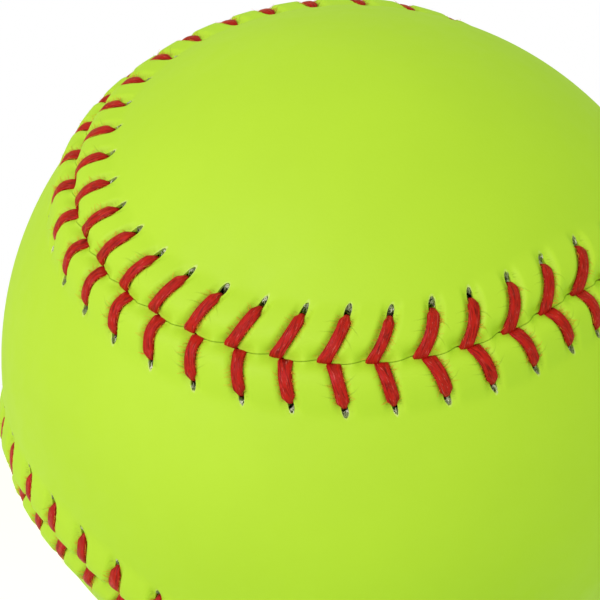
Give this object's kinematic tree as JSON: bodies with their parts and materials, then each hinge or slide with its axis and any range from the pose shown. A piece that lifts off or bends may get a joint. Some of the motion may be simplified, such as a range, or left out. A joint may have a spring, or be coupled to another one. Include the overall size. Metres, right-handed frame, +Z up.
{
  "type": "softball",
  "caption": "Stitched softball: moulded core, cement, two figure-eight cover panels of skin over backing, sewn together with two red threads.",
  "frame": {"origin": "middle of the ball", "axes": "+Z up as in the picture, +X to its right, and -Y towards its camera"},
  "size_m": [0.0983, 0.0986, 0.0984],
  "materials": {
    "core": "matt moulded polyurethane",
    "cement": "dried latex cement",
    "backing": "pale microfibre felt",
    "skin": "optic yellow synthetic leather, fine grain, satin",
    "thread": "red waxed thread"
  },
  "bodies": {
    "root": {"core": "core", "cement_a": "cement", "cement_b": "cement", "panel_a_backing": "backing", "panel_a_skin": "skin", "panel_b_backing": "backing", "panel_b_skin": "skin", "thread_a": "thread", "thread_b": "thread"}
  },
  "joints": []
}
